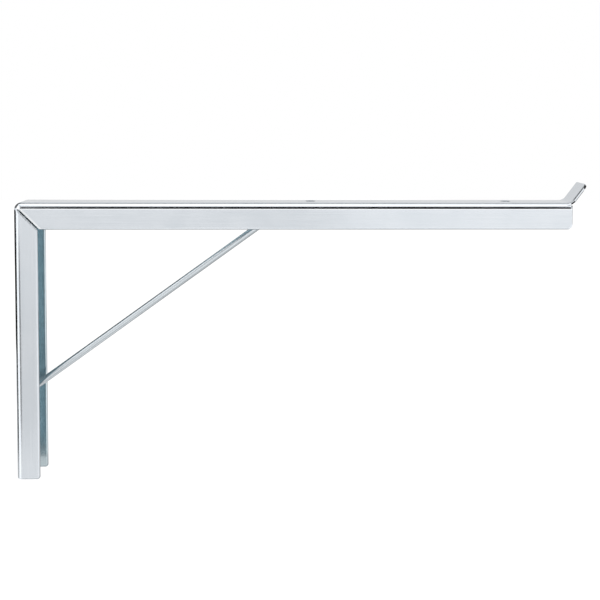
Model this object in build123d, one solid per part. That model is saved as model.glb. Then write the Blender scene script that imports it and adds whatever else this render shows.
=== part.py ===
from build123d import *
import math
import os

# Shelf bracket of zinc-plated steel: one folded U-channel and a round brace welded inside it.
# The wall plane is x = 0, the bracket is symmetric about y = 0, and +z is up.
# The origin lies on the wall plane, midway between the two wall screw holes.

# Sheet
sheet = 2.5
bend_inside_radius = 3.0

# Overall size and channel section
overall_reach = 500.0
leg_height = 243.0
channel_width = 35.0
arm_depth = 23.5
leg_depth = 20.6

# Folded corner between leg and arm, and the flanges' free corners
corner_easing = 1.0
mitre_gap = 1.3
mitre_edge_round = 0.7
foot_corner_radius = 2.5
arm_end_corner_radius = 4.5

# Upturned lip at the arm's free end
lip_reach = 18.0
lip_past_flanges = 13.0
lip_angle = 53.0
lip_inside_radius = 7.5
lip_side_wall = 0.8
lip_corner_radius = 6.5

# Screw holes
shelf_hole_diameter = 8.5
shelf_hole_from_end = 56.5
shelf_hole_spacing = 174.0
wall_hole_diameter = 8.5
wall_hole_below_top = 45.0
wall_hole_above_foot = 28.0

# Brace rod and its weld beads
rod_diameter = 6.0
rod_behind_shelf_hole = 18.5
rod_above_wall_hole = 42.3
weld_width = 2.2
weld_height = 2.6
weld_root = 0.3

# Places worked out from the sizes above
wall_hole_spacing = leg_height - wall_hole_below_top - wall_hole_above_foot
top_z = wall_hole_below_top + wall_hole_spacing / 2
foot_z = top_z - leg_height
web_under_z = top_z - sheet
arm_under_z = top_z - arm_depth
arm_end = overall_reach - lip_past_flanges
lip_start = overall_reach - lip_reach
bend_outside_radius = bend_inside_radius + sheet
corner_outside_radius = bend_outside_radius + corner_easing
mitre_start = 0.7 * bend_outside_radius
edge_round = 0.4 * sheet
outer_shelf_hole = arm_end - shelf_hole_from_end
inner_shelf_hole = outer_shelf_hole - shelf_hole_spacing
upper_wall_hole = wall_hole_spacing / 2
lower_wall_hole = -wall_hole_spacing / 2


def angle_block(inset, extra):
    """Solid right angle of leg and arm, `inset` within the outer faces and `extra` past the free edges."""
    back = inset
    top = top_z - inset
    front = leg_depth + extra
    under = arm_under_z - extra
    end = arm_end + extra
    low = foot_z - extra
    outline = Polyline(
        (back, low), (back, top), (end, top), (end, under), (front, under), (front, low), close=True
    )
    block = extrude(make_face(Plane.XZ * outline), channel_width / 2 - inset, both=True)
    corner = block.edges().filter_by(Axis.Y).sort_by_distance((back, 0, top))[0]
    block = fillet(corner, corner_outside_radius - inset)
    rims = block.faces().filter_by(Axis.Y).edges().filter_by(GeomType.CIRCLE)
    return fillet(rims, bend_outside_radius - inset)


def mitre_slot():
    """Open joint between the flanges, from the folded corner to the inner corner of leg and arm."""
    run = math.sqrt(2) * (leg_depth - mitre_start)
    length = run + 2 * mitre_gap
    place = Pos(leg_depth, arm_under_z) * Rot(0, 0, 135) * Pos(run - length / 2, -mitre_gap / 2)
    return extrude(Plane.XZ * place * SlotOverall(length, mitre_gap), channel_width, both=True)


def mitre_edges(body):
    """Outer edges of the open joint on both flanges."""
    lines = [e for e in body.edges().filter_by(GeomType.LINE) if e.length > leg_depth / 2]
    outside = [e for e in lines if abs(e.center().Y) > channel_width / 2 - sheet / 2]
    return [e for e in outside if min(abs((e % 0.5).X), abs((e % 0.5).Z)) > 0.5]


def corner_edges(body, x, z):
    """Edges across the sheet, parallel to y, at one free corner of the flanges."""
    across = body.edges().filter_by(Axis.Y)
    return [e for e in across if math.hypot(e.center().X - x, e.center().Z - z) < edge_round]


def rim_edges(body):
    """Long edges of the sheet's cut faces on the flanges, the foot and the arm's end."""
    cuts = [f for f in body.faces().filter_by(Axis.Z) if f.center().Z < arm_under_z + edge_round]
    cuts += [f for f in body.faces().filter_by(Axis.X) if f.center().X > leg_depth - edge_round]
    return ShapeList(e for f in cuts for e in f.edges() if e.length > 1.1 * sheet)


def lip():
    """Web of the arm's end, turned up past the flanges with the tops of both bends still on its sides.

    Each bend is cut where `lip_side_wall` of square edge is left below its curve.
    """
    slant = math.radians(lip_angle)
    along = Vector(math.cos(slant), 0, math.sin(slant))
    cut_height = bend_outside_radius - sheet + lip_side_wall
    bend_part = math.sqrt(bend_outside_radius**2 - cut_height**2)
    width = channel_width - 2 * (bend_outside_radius - bend_part)
    bends = RectangleRounded(channel_width, 4 * bend_outside_radius, bend_outside_radius)
    web = Rectangle(width, sheet, align=(Align.CENTER, Align.MAX))
    section = Plane((lip_start, 0, top_z), x_dir=(0, 1, 0), z_dir=(1, 0, 0)) * (
        Pos(0, -2 * bend_outside_radius) * bends & web
    )
    pivot = Axis((lip_start, 0, top_z + lip_inside_radius), (0, -1, 0))
    turned = section.rotate(pivot, lip_angle)
    outer_bend_end = lip_start + (lip_inside_radius + sheet) * math.sin(slant)
    lost_to_rounding = edge_round * (math.cos(slant) + math.sin(slant) - 1)
    run = (overall_reach + lost_to_rounding - outer_bend_end) / math.cos(slant)
    away = Vector(math.sin(slant), 0, -math.cos(slant))
    foot = pivot.position + away * (lip_inside_radius + sheet / 2)
    plan = Plane(foot, x_dir=along, z_dir=away) * RectangleRounded(2 * run, width, lip_corner_radius)
    profile = Plane(foot, x_dir=along, z_dir=(0, 1, 0)) * RectangleRounded(2 * run, sheet, edge_round)
    tab = extrude(turned, run, dir=along)
    tab &= extrude(plan, sheet, both=True)
    tab &= extrude(profile, channel_width, both=True)
    return tab + revolve(section, axis=pivot, revolution_arc=lip_angle)


def lip_window():
    """Room in the end of the arm, down to the web's underside, from which the lip is turned up."""
    window = Box(lip_reach, 2 * channel_width, 2 * sheet, align=(Align.MIN, Align.CENTER, Align.MIN))
    return Pos(lip_start, 0, web_under_z) * window


def screw_hole(diameter, x, z, axis):
    """Straight round hole through the web, centred on a point of its outer face."""
    return extrude(Plane((x, 0, z), z_dir=axis) * Circle(diameter / 2), 2 * sheet, both=True)


def folded_channel():
    channel = angle_block(0, 0) - angle_block(sheet, arm_depth) - mitre_slot()
    channel = fillet(corner_edges(channel, leg_depth, foot_z), foot_corner_radius)
    channel = fillet(corner_edges(channel, arm_end, arm_under_z), arm_end_corner_radius)
    channel = fillet(rim_edges(channel), edge_round)
    channel = fillet(mitre_edges(channel), mitre_edge_round)
    channel = channel - lip_window() + lip()
    for x in (inner_shelf_hole, outer_shelf_hole):
        channel -= screw_hole(shelf_hole_diameter, x, top_z, (0, 0, 1))
    for z in (upper_wall_hole, lower_wall_hole):
        channel -= screw_hole(wall_hole_diameter, 0, z, (1, 0, 0))
    return channel


def weld_bead(web, lean):
    """Weld metal around the rod, which leaves the web's plane at `lean` degrees towards its x axis."""
    along = rod_diameter / 2 / math.sin(math.radians(lean))
    across = rod_diameter / 2
    shift = weld_height / math.tan(math.radians(lean))
    foot = web * Ellipse(along + weld_width, across + weld_width)
    crown = web * Pos(shift, 0, weld_height) * Ellipse(along - weld_root, across - weld_root)
    return loft([foot, crown])


def brace_rod():
    """Round rod from the leg's web to the arm's web, cut flush with both and welded to them."""
    low_end = Vector(sheet, 0, lower_wall_hole + rod_above_wall_hole)
    high_end = Vector(inner_shelf_hole - rod_behind_shelf_hole, 0, web_under_z)
    axis = high_end - low_end
    slope = math.degrees(math.atan2(axis.Z, axis.X))
    middle = Plane((low_end + high_end) / 2, z_dir=axis)
    rod = extrude(middle * Circle(rod_diameter / 2), axis.length, both=True)
    room = Box(axis.length, channel_width, axis.length, align=(Align.MIN, Align.CENTER, Align.MAX))
    rod &= Pos(sheet, 0, web_under_z) * room
    leg_web = Plane(low_end, x_dir=(0, 0, 1), z_dir=(1, 0, 0))
    arm_web = Plane(high_end, x_dir=(-1, 0, 0), z_dir=(0, 0, -1))
    return rod + weld_bead(leg_web, 90 - slope) + weld_bead(arm_web, slope)


os.makedirs("parts", exist_ok=True)
export_step(folded_channel(), "parts/folded_channel.step")
export_step(brace_rod(), "parts/brace_rod.step")
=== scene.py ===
import math
from types import SimpleNamespace

import bpy
from mathutils import Matrix, Vector

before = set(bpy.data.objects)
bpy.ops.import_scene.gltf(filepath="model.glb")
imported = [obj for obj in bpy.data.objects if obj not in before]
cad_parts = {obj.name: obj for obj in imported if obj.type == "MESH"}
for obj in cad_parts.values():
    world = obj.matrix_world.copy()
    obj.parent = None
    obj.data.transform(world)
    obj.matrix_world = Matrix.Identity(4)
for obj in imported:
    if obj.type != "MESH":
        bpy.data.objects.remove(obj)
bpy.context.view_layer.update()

scene = bpy.context.scene
scene.view_settings.view_transform = "Standard"

# All lengths are in metres. X runs out along the arm, Y across the channel and Z up.
# "Below" is the depth below the arm's top face, and "across" the distance from the middle plane.
TOP_Z = 0.130
LEG_DEPTH = 0.0206
ARM_DEPTH = 0.0235
LIP_ANGLE = math.radians(53.0)
ROD_RUN = 0.2355
ROD_RISE = 0.1702

# Limits that tell the faces of the folded sheet apart
FLANGE_INSIDE = 0.0152
WEB_INSIDE = 0.0024
WEB_UNDERSIDE = 0.0026
FLANGE_END = 0.4858
LIP_UNDERSIDE = 0.31175
LIP_SIDE_FACE = 0.01592
LIP_SIDE = 0.0155

# Places of the painted shade and painted highlights on the sheet, of the bend mark and of the welds. A
# pair is where a mark begins and where it is full, or where it starts to fade and where it is gone. Four
# numbers are both pairs.
INNER_CORNER_OUT = (0.030, 0.036)
INNER_CORNER_DOWN = (0.0245, 0.0275)
INNER_CORNER_ACROSS = 0.0140
INSIDE_FOOT = (0.229, 0.233)
BESIDE_JOINT = (0.0012, 0.0020, 0.0034, 0.0052)
BELOW_BEND = (0.0049, 0.0053, 0.0058, 0.0063)
JOINT_TOP = (0.0058, 0.0062, 0.0100, 0.0150)
JOINT_HALF_WIDTH = 0.00092
PAST_JOINT = 0.0015
ARM_EDGE = (0.0225, 0.0231)
ARM_EDGE_START = 0.0215
FOOT_EDGE = (0.2420, 0.2427)
LEG_EDGE = (0.0199, 0.0203)
LEG_EDGE_START = 0.0240
LIP_ROOT = (0.4886, 0.4894)
BEND_MARK = (0.0047, 0.00535)
BEND_MARK_START = (0.0015, 0.0035)
LOWER_WELD = (0.0045, 0.0056)
UPPER_WELD = (0.1244, 0.1255)

# Relief in the plating: the radius of eased edges, heights, and the shares of the finest parts
EDGE_EASING = 0.0020
BEND_MARK_HEIGHT = 0.00008
WAVE_HEIGHT = 0.000012
SHEET_LINE_HEIGHT = 0.0000025
ROD_LINE_HEIGHT = 0.000008
FINE_STRENGTH = 0.3
GRAIN_SHARE = 0.3
WELD_RIPPLE = 12.0

# Pattern of the plating: how far noise is drawn out into lines, and the noise that spans dark to light
LINE_SCALE = 0.02
TONE_RANGE = (0.3, 0.7)

# How strongly the painted shade shows on the cut edges of foot and leg, where the arm's has 1
FOOT_EDGE_SHARE = 0.6
LEG_EDGE_SHARE = 0.65

# Base colours
SHEET_DARK = (0.70, 0.742, 0.785)
SHEET_LIGHT = (0.765, 0.80, 0.84)
# Inside of the channel: bluer and darker than the outside, as painted shade
INSIDE_SHADE_DARK = (0.61, 0.72, 0.76)
INSIDE_SHADE_LIGHT = (0.645, 0.745, 0.785)
# Painted shade on the inside of the channel near the foot
PAINTED_FOOT_SHADE = (0.48, 0.555, 0.585)
# Painted shade in the inner corner of leg and arm
PAINTED_CORNER_SHADE = (0.11, 0.13, 0.14)
# Painted highlight on the arm's flange beside the joint
PAINTED_JOINT_HIGHLIGHT = (0.96, 0.98, 1.0)
# Painted highlight just below the arm's bend
PAINTED_BEND_HIGHLIGHT = (0.95, 0.975, 1.0)
# Painted shade along the cut edges of arm, foot and leg
PAINTED_EDGE_SHADE = (0.44, 0.47, 0.50)
# Painted shade, near black, at the upper end of the joint
PAINTED_JOINT_SHADE = (0.03, 0.03, 0.035)
# Painted shade on the lip's side faces
PAINTED_LIP_EDGE_SHADE = (0.13, 0.135, 0.14)
# Painted shadow where the lip leaves the flanges
PAINTED_LIP_ROOT_SHADOW = (0.02, 0.02, 0.022)
ROD_DARK = (0.59, 0.635, 0.67)
ROD_LIGHT = (0.65, 0.695, 0.725)
WELD_DARK = (0.36, 0.38, 0.39)
WELD_LIGHT = (0.56, 0.58, 0.59)
FLOOR_COLOUR = (0.92, 0.92, 0.92)
WHITE = (1.0, 1.0, 1.0)
BLACK = (0.0, 0.0, 0.0)

# Roughness, from the dark to the light parts of the plating
SHEET_ROUGHNESS = (0.13, 0.18)
ROD_ROUGHNESS = (0.18, 0.25)
WELD_EXTRA_ROUGHNESS = 0.25

# Stage
FLOOR_Z = -0.55
FLOOR_RADIUS = 8.0
FLOOR_SIDES = 64
FLOOR_LIFT = 0.15
CARD_STEPS = 16

# Points of the bracket that the cards stand around
ARM = (0.25, 0.0, 0.13)
LEG = (0.01, 0.0, 0.0)
ROD = (0.12, 0.0, 0.04)
LIP = (0.49, 0.0, 0.14)

# Curved cards: name, centre, radius, azimuths and elevations in degrees, and tone, where 1 is white.
# Azimuth 0 is in front of the bracket and 90 is past the arm's free end.
CARDS = [
    ("front_flag", ARM, 2.5, (-23, 27), (9, 37), 0.0),
    ("light_line", ARM, 2.5, (-25, 40), (-3, 9), 1.1),
    ("front_left_panel", ARM, 2.5, (-25, 4), (-13, -3), 0.89),
    ("front_right_panel", ARM, 2.5, (4, 34), (-13, -3), 1.03),
    ("front_end_panel", ARM, 2.5, (34, 66), (-13, -3), 1.2),
    ("back_panel", ARM, 2.5, (120, 240), (-10, 66), 0.78),
    ("rod_flag", ROD, 1.5, (214, 262), (8, 62), 0.15),
    ("rod_side_flag", ROD, 1.5, (262, 290), (14, 44), 0.15),
    ("rod_light", ROD, 1.2, (-69, -38), (24, 46), 1.5),
    ("lip_flag", LIP, 1.0, (40, 125), (22, 60), 0.0),
    ("lip_back_panel", LIP, 7.0, (-62, -26), (32, 54), 0.3),
    ("back_left_flag", LEG, 1.1, (-158, -78), (-22, 3), 0.0),
    ("back_left_low_flag", LEG, 1.1, (-158, -78), (-29, -22), 0.65),
    ("left_panel", LEG, 0.8, (-77, -42), (-40, 25), 1.35),
    ("left_line", LEG, 1.1, (-38, -19), (-20, -2), 0.25),
    ("leg_panel", LEG, 1.3, (-19, -6), (-20, -9), 0.81),
    ("leg_panel_low", LEG, 1.3, (-40, -6), (-24.9, -20), 0.89),
    ("right_panel", ARM, 1.2, (66, 140), (-9, 20), 0.5),
    ("low_panel", ARM, 0.62, (-47, 100), (-80, -42), 0.75),
    ("low_back_panel", ARM, 0.62, (100, 215), (-80, -20), 0.5),
    ("foot_panel", ARM, 0.62, (-80, -47), (-80, -44), 0.72),
    ("foot_back_panel", ARM, 0.62, (215, 260), (-80, -20), 0.66),
]

# Flat card above the arm
STRIP_ENDS = (-1.5, 2.0)
STRIP_DEPTHS = (0.08, 0.53)
STRIP_HEIGHT = 1.33
STRIP_TONE = 0.4

# Soft lamp above the bracket's middle
LAMP_TARGET = (0.25, 0.0, 0.1)
LAMP_DIRECTION = (0, 82)
LAMP_DISTANCE = 1.6
LAMP_SIZE = (2.6, 2.2)
LAMP_RADIANCE = 0.5

# Camera, fitted to the photograph's frame
IMAGE_PIXELS = 600.0
FOCAL_PIXELS = 1063.8
SHIFT_PIXELS = (-25.2, -126.0)
SENSOR_MM = 36.0
CAMERA_PLACE = (0.2290, -0.9387, 0.2129)
CAMERA_YAW = math.radians(2.472)
CAMERA_PITCH = math.radians(3.587)
CAMERA_ROLL = math.radians(0.258)


class Nodes:
    """Node tree of one new material, with a short call for each kind of node used here."""

    def __init__(self, name):
        self.material = bpy.data.materials.new(name)
        self.material.use_nodes = True
        self.tree = self.material.node_tree
        self.shader = self.tree.nodes["Principled BSDF"].inputs

    def feed(self, socket, value):
        """Links another socket to this one, or sets it to a number, a vector or a colour."""
        if isinstance(value, bpy.types.NodeSocket):
            self.tree.links.new(value, socket)
        elif socket.type == "RGBA":
            socket.default_value = (*value, 1.0)
        else:
            socket.default_value = value

    def shade(self, inputs):
        """Feeds sockets of the material's shader, by name."""
        for key, value in inputs.items():
            self.feed(self.shader[key], value)

    def add(self, kind, inputs=None, **settings):
        """Adds a node and feeds its inputs, by socket name or number."""
        node = self.tree.nodes.new(kind)
        for key, value in settings.items():
            setattr(node, key, value)
        for key, value in (inputs or {}).items():
            self.feed(node.inputs[key], value)
        return node

    def calculate(self, operation, a, b=0.0):
        return self.add("ShaderNodeMath", {0: a, 1: b}, operation=operation).outputs[0]

    def over(self, value, limit):
        return self.calculate("GREATER_THAN", value, limit)

    def under(self, value, limit):
        return self.calculate("LESS_THAN", value, limit)

    def difference(self, a, b):
        return self.calculate("SUBTRACT", a, b)

    def inverse(self, value):
        return self.difference(1.0, value)

    def product(self, first, *others):
        for other in others:
            first = self.calculate("MULTIPLY", first, other)
        return first

    def largest(self, first, *others):
        for other in others:
            first = self.calculate("MAXIMUM", first, other)
        return first

    def weighted_sum(self, a, weight_a, b, weight_b):
        return self.calculate("ADD", self.product(a, weight_a), self.product(b, weight_b))

    def ramp(self, value, ends, to=(0.0, 1.0), interpolation="SMOOTHSTEP"):
        """Value that goes from to[0] at the first end to to[1] at the second."""
        inputs = {"Value": value, "From Min": ends[0], "From Max": ends[1]}
        inputs.update({"To Min": to[0], "To Max": to[1]})
        node = self.add("ShaderNodeMapRange", inputs, interpolation_type=interpolation)
        return node.outputs["Result"]

    def fade(self, value, ends):
        return self.ramp(value, ends, to=(1.0, 0.0))

    def band(self, value, limits):
        """Mask that begins at the first limit, is full from the second and fades from third to fourth."""
        return self.product(self.ramp(value, limits[:2]), self.fade(value, limits[2:]))

    def stretch(self, vector, scale):
        return self.add("ShaderNodeMapping", {"Vector": vector, "Scale": scale}).outputs[0]

    def noise(self, vector, scale, detail, rough):
        inputs = {"Vector": vector, "Scale": scale, "Detail": detail, "Roughness": rough}
        return self.add("ShaderNodeTexNoise", inputs).outputs["Fac"]

    def mix(self, factor, a, b, data_type="RGBA", kind="Color"):
        """Mix of two colours, or of two vectors with data_type VECTOR and kind Vector."""
        node = self.add("ShaderNodeMix", data_type=data_type)
        sockets = {socket.identifier: socket for socket in node.inputs}
        self.feed(sockets["Factor_Float"], factor)
        self.feed(sockets["A_" + kind], a)
        self.feed(sockets["B_" + kind], b)
        return next(s for s in node.outputs if s.identifier == "Result_" + kind)

    def bump(self, height, distance, strength=1.0, normal=None):
        inputs = {"Strength": strength, "Distance": distance, "Height": height}
        if normal is not None:
            inputs["Normal"] = normal
        return self.add("ShaderNodeBump", inputs).outputs[0]


def sheet_places(nodes):
    """Coordinates of a point on the sheet, and masks for the faces that it may lie on."""
    at = SimpleNamespace()
    at.place = nodes.add("ShaderNodeTexCoord").outputs["Object"]
    split = nodes.add("ShaderNodeSeparateXYZ", {0: at.place}).outputs
    at.x = split["X"]
    at.z = split["Z"]
    at.across = nodes.calculate("ABSOLUTE", split["Y"])
    at.below = nodes.difference(TOP_Z, at.z)
    from_corner = nodes.calculate("ADD", at.x, ARM_DEPTH - LEG_DEPTH)
    at.beside_joint = nodes.difference(from_corner, at.below)
    at.between_flanges = nodes.under(at.across, FLANGE_INSIDE)
    at.on_flange = nodes.inverse(at.between_flanges)
    at.under_web = nodes.over(at.below, WEB_INSIDE)
    at.past_flanges = nodes.product(nodes.under(at.below, WEB_UNDERSIDE), nodes.over(at.x, FLANGE_END))
    # Painted highlight: a light band on the flanges beside the joint
    at.burnished = nodes.product(nodes.band(at.beside_joint, BESIDE_JOINT), at.on_flange)
    return at


def sheet_pattern(nodes, at):
    """Rolling lines along leg and arm, and the tone that they and soft clouds give the plating."""
    along_arm = nodes.stretch(at.place, (LINE_SCALE, 1.0, 1.0))
    along_leg = nodes.stretch(at.place, (1.0, 1.0, LINE_SCALE))
    on_leg = nodes.over(at.below, at.x)
    rolled = nodes.mix(on_leg, along_arm, along_leg, data_type="VECTOR", kind="Vector")
    lines = nodes.noise(rolled, scale=900.0, detail=4.0, rough=0.6)
    clouds = nodes.noise(at.place, scale=22.0, detail=3.0, rough=0.55)
    tone = nodes.ramp(nodes.weighted_sum(clouds, 0.6, lines, 0.4), TONE_RANGE)
    return lines, tone


def inside_painted_shade_colour(nodes, at, tone):
    """Bluish inside of the channel, darker as painted shade, with painted shade that is dark in the inner
    corner of leg and arm and darker at the foot.
    """
    # Painted shade, dark in the inner corner of leg and arm, on the flanges' inner faces
    painted_corner_shade = nodes.product(
        nodes.fade(at.x, INNER_CORNER_OUT),
        nodes.fade(at.below, INNER_CORNER_DOWN),
        nodes.over(at.across, INNER_CORNER_ACROSS),
    )
    colour = nodes.mix(tone, INSIDE_SHADE_DARK, INSIDE_SHADE_LIGHT)
    colour = nodes.mix(painted_corner_shade, colour, PAINTED_CORNER_SHADE)
    # Painted shade, darker towards the foot
    return nodes.mix(nodes.ramp(at.below, INSIDE_FOOT), colour, PAINTED_FOOT_SHADE)


def painted_bend_highlight(nodes, at):
    """Painted highlight: a thin light line just below the bend of the arm."""
    past_joint = nodes.over(at.beside_joint, PAST_JOINT)
    return nodes.product(nodes.band(at.below, BELOW_BEND), at.on_flange, past_joint)


def painted_edge_shade(nodes, at):
    """Painted shade along the free edges of the arm, the foot and the leg, where the sheet was cut."""
    arm_edge = nodes.product(nodes.ramp(at.below, ARM_EDGE), nodes.over(at.x, ARM_EDGE_START))
    foot_edge = nodes.ramp(at.below, FOOT_EDGE, to=(0.0, FOOT_EDGE_SHARE))
    leg_edge = nodes.ramp(at.x, LEG_EDGE, to=(0.0, LEG_EDGE_SHARE))
    leg_edge = nodes.product(leg_edge, nodes.over(at.below, LEG_EDGE_START))
    return nodes.largest(arm_edge, foot_edge, leg_edge)


def painted_joint_shade(nodes, at):
    """Painted shade at the upper end of the open joint between the flanges, whose one edge is where
    beside_joint is 0.
    """
    from_middle = nodes.calculate("ABSOLUTE", nodes.difference(at.beside_joint, JOINT_HALF_WIDTH))
    return nodes.product(nodes.band(at.below, JOINT_TOP), nodes.under(from_middle, JOINT_HALF_WIDTH))


def painted_lip_edge_shade(nodes, at):
    """Painted shade on the lower part of the lip's side faces."""
    outward = nodes.product(at.x, math.sin(LIP_ANGLE))
    toward_underside = nodes.difference(outward, nodes.product(at.z, math.cos(LIP_ANGLE)))
    low = nodes.over(toward_underside, LIP_UNDERSIDE)
    return nodes.product(at.past_flanges, low, nodes.over(at.across, LIP_SIDE_FACE))


def painted_lip_root_shadow(nodes, at):
    """Painted shadow on the sides of the lip where it leaves the flanges."""
    return nodes.product(nodes.over(at.across, LIP_SIDE), nodes.fade(at.x, LIP_ROOT), at.past_flanges)


def sheet_colour(nodes, at, tone):
    """Colour of the plating outside and inside the channel, where the inside is darker as painted shade,
    with painted highlights and painted shade laid over it in order.
    """
    # Inside of the channel, where the plating is painted darker and bluer as shade
    inside = nodes.product(at.between_flanges, nodes.over(at.x, WEB_INSIDE), at.under_web)
    plating = nodes.mix(tone, SHEET_DARK, SHEET_LIGHT)
    colour = nodes.mix(inside, plating, inside_painted_shade_colour(nodes, at, tone))
    # Painted highlights and painted shade, laid over the plating in order
    marks = [
        (at.burnished, PAINTED_JOINT_HIGHLIGHT),
        (painted_bend_highlight(nodes, at), PAINTED_BEND_HIGHLIGHT),
        (painted_edge_shade(nodes, at), PAINTED_EDGE_SHADE),
        (painted_joint_shade(nodes, at), PAINTED_JOINT_SHADE),
        (painted_lip_edge_shade(nodes, at), PAINTED_LIP_EDGE_SHADE),
        (painted_lip_root_shadow(nodes, at), PAINTED_LIP_ROOT_SHADOW),
    ]
    for mask, mark_colour in marks:
        colour = nodes.mix(mask, colour, mark_colour)
    return colour


def sheet_normal(nodes, at, lines):
    """Eased edges, a slight mark where the arm's bend meets its flange, faint waves and fine lines."""
    # No eased edges under the painted highlight beside the joint
    easing = nodes.product(nodes.inverse(at.burnished), EDGE_EASING, at.under_web)
    eased = nodes.add("ShaderNodeBevel", {"Radius": easing}, samples=8).outputs[0]
    mark = nodes.product(
        nodes.ramp(at.below, BEND_MARK, interpolation="LINEAR"),
        at.on_flange,
        nodes.ramp(at.beside_joint, BEND_MARK_START),
    )
    marked = nodes.bump(mark, BEND_MARK_HEIGHT, normal=eased)
    swell = nodes.noise(at.place, scale=35.0, detail=1.0, rough=0.4)
    waves = nodes.bump(swell, WAVE_HEIGHT, normal=marked)
    grain = nodes.noise(at.place, scale=1500.0, detail=2.0, rough=0.5)
    fine = nodes.weighted_sum(lines, 1.0, grain, GRAIN_SHARE)
    return nodes.bump(fine, SHEET_LINE_HEIGHT, FINE_STRENGTH, waves)


def sheet_material():
    """Bright bluish zinc on rolled and folded sheet."""
    nodes = Nodes("zinc_plated_sheet")
    at = sheet_places(nodes)
    lines, tone = sheet_pattern(nodes, at)
    nodes.shade({
        "Base Color": sheet_colour(nodes, at, tone),
        "Metallic": 1.0,
        "Roughness": nodes.ramp(tone, (0.0, 1.0), to=SHEET_ROUGHNESS),
        "Normal": sheet_normal(nodes, at, lines),
    })
    return nodes.material


def rod_material():
    """Zinc on drawn rod: drawing lines along the rod, and dull rippled weld metal at both ends."""
    nodes = Nodes("zinc_plated_rod")
    place = nodes.add("ShaderNodeTexCoord").outputs["Object"]
    split = nodes.add("ShaderNodeSeparateXYZ", {0: place}).outputs
    lean = (0.0, math.atan2(ROD_RISE, ROD_RUN), 0.0)
    turned = nodes.add("ShaderNodeMapping", {"Vector": place, "Rotation": lean}).outputs[0]
    drawn = nodes.stretch(turned, (LINE_SCALE, 1.0, 1.0))
    lines = nodes.noise(drawn, scale=1400.0, detail=3.0, rough=0.6)
    clouds = nodes.noise(place, scale=60.0, detail=3.0, rough=0.55)
    ripple = nodes.noise(place, scale=700.0, detail=2.0, rough=0.5)
    tone = nodes.ramp(nodes.weighted_sum(clouds, 0.5, lines, 0.5), TONE_RANGE)
    weld = nodes.largest(nodes.fade(split["X"], LOWER_WELD), nodes.ramp(split["Z"], UPPER_WELD))
    plating = nodes.mix(tone, ROD_DARK, ROD_LIGHT)
    bead = nodes.mix(ripple, WELD_DARK, WELD_LIGHT)
    satin = nodes.ramp(tone, (0.0, 1.0), to=ROD_ROUGHNESS)
    relief = nodes.calculate("ADD", lines, nodes.product(weld, ripple, WELD_RIPPLE))
    nodes.shade({
        "Base Color": nodes.mix(weld, plating, bead),
        "Metallic": 1.0,
        "Roughness": nodes.weighted_sum(satin, 1.0, weld, WELD_EXTRA_ROUGHNESS),
        "Normal": nodes.bump(relief, ROD_LINE_HEIGHT, FINE_STRENGTH),
    })
    return nodes.material


def floor_material():
    """Pale floor that keeps shadows, lifted towards white where the camera or a reflection sees it."""
    nodes = Nodes("pale_floor")
    rays = nodes.add("ShaderNodeLightPath").outputs
    seen = nodes.largest(rays["Is Camera Ray"], rays["Is Glossy Ray"], rays["Is Transmission Ray"])
    nodes.shade({
        "Base Color": FLOOR_COLOUR,
        "Roughness": 0.9,
        "Specular IOR Level": 0.0,
        "Emission Color": WHITE,
        "Emission Strength": nodes.product(seen, FLOOR_LIFT),
    })
    return nodes.material


def card_material(name, tone):
    """Card of an even tone that no lamp changes."""
    nodes = Nodes(name)
    nodes.shade({
        "Base Color": BLACK,
        "Specular IOR Level": 0.0,
        "Emission Color": (tone, tone, tone),
        "Emission Strength": 1.0,
    })
    return nodes.material


def stage_object(name, points, faces, material):
    mesh = bpy.data.meshes.new(name)
    mesh.from_pydata(points, [], faces)
    mesh.materials.append(material)
    obj = bpy.data.objects.new(name, mesh)
    scene.collection.objects.link(obj)
    return obj


def card(name, points, faces, tone):
    """Card that is seen only in reflections."""
    obj = stage_object(name, points, faces, card_material(name, tone))
    obj.visible_camera = False
    obj.visible_diffuse = False
    obj.visible_shadow = False


def direction(azimuth, elevation):
    """Unit vector from the bracket, for angles in degrees as in the list of cards."""
    turn = math.radians(azimuth)
    rise = math.radians(elevation)
    level = math.cos(rise)
    return Vector((math.sin(turn) * level, -math.cos(turn) * level, math.sin(rise)))


def evenly(ends):
    """CARD_STEPS equal steps from one end to the other."""
    low, high = ends
    return [low + (high - low) * i / CARD_STEPS for i in range(CARD_STEPS + 1)]


def curved_card(name, centre, radius, azimuths, elevations, tone):
    """Card on a part of a sphere around a point of the bracket."""
    points = [
        Vector(centre) + radius * direction(azimuth, elevation)
        for azimuth in evenly(azimuths)
        for elevation in evenly(elevations)
    ]
    row = CARD_STEPS + 1
    starts = [i * row + j for i in range(CARD_STEPS) for j in range(CARD_STEPS)]
    card(name, points, [(s, s + 1, s + row + 1, s + row) for s in starts], tone)


def overhead_card():
    """Flat card along the arm and above it."""
    left, right = STRIP_ENDS
    front, back = STRIP_DEPTHS
    outline = [(left, front), (right, front), (right, back), (left, back)]
    corners = [(x, y, STRIP_HEIGHT) for x, y in outline]
    card("top_line", corners, [(0, 1, 2, 3)], STRIP_TONE)


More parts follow.
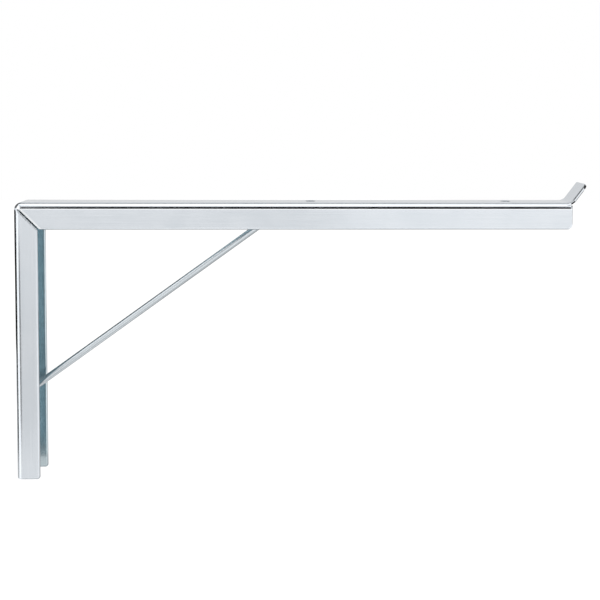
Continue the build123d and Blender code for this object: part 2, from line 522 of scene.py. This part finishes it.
def soft_lamp():
    """Area lamp that faces the bracket's middle."""
    out = direction(*LAMP_DIRECTION)
    lamp = bpy.data.lights.new("top_softbox", "AREA")
    lamp.shape = "RECTANGLE"
    lamp.size, lamp.size_y = LAMP_SIZE
    lamp.energy = LAMP_RADIANCE * math.pi * lamp.size * lamp.size_y
    obj = bpy.data.objects.new("top_softbox", lamp)
    obj.location = Vector(LAMP_TARGET) + LAMP_DISTANCE * out
    obj.rotation_euler = out.to_track_quat("Z", "Y").to_euler()
    obj.visible_camera = False
    scene.collection.objects.link(obj)


def white_world():
    scene.world = bpy.data.worlds.new("white_tent")
    scene.world.use_nodes = True
    background = scene.world.node_tree.nodes["Background"].inputs
    background["Color"].default_value = (*WHITE, 1.0)
    background["Strength"].default_value = 1.0


def floor():
    turns = [2 * math.pi * i / FLOOR_SIDES for i in range(FLOOR_SIDES)]
    ring = [(FLOOR_RADIUS * math.cos(t), FLOOR_RADIUS * math.sin(t), FLOOR_Z) for t in turns]
    stage_object("floor", ring, [tuple(range(FLOOR_SIDES))], floor_material())


def camera():
    """Camera at the photograph's viewing angle, its lens shifted to the photograph's framing."""
    data = bpy.data.cameras.new("camera")
    data.sensor_width = SENSOR_MM
    data.lens = FOCAL_PIXELS / IMAGE_PIXELS * SENSOR_MM
    data.shift_x = SHIFT_PIXELS[0] / IMAGE_PIXELS
    data.shift_y = SHIFT_PIXELS[1] / IMAGE_PIXELS
    level = Vector((math.cos(CAMERA_YAW), -math.sin(CAMERA_YAW), 0.0))
    forward = Vector((math.sin(CAMERA_YAW), math.cos(CAMERA_YAW), 0.0))
    ahead = math.cos(CAMERA_PITCH) * forward - math.sin(CAMERA_PITCH) * Vector((0.0, 0.0, 1.0))
    right = math.cos(CAMERA_ROLL) * level + math.sin(CAMERA_ROLL) * level.cross(ahead)
    up = right.cross(ahead)
    obj = bpy.data.objects.new("camera", data)
    turn = Matrix((right, up, -ahead)).transposed().to_4x4()
    obj.matrix_world = Matrix.Translation(CAMERA_PLACE) @ turn
    scene.collection.objects.link(obj)
    scene.camera = obj


def dress(node, material):
    """Gives a CAD node one material."""
    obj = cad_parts[node]
    obj.data.materials.clear()
    obj.data.materials.append(material)


dress("folded_channel", sheet_material())
dress("brace_rod", rod_material())
white_world()
floor()
for row in CARDS:
    curved_card(*row)
overhead_card()
soft_lamp()
camera()
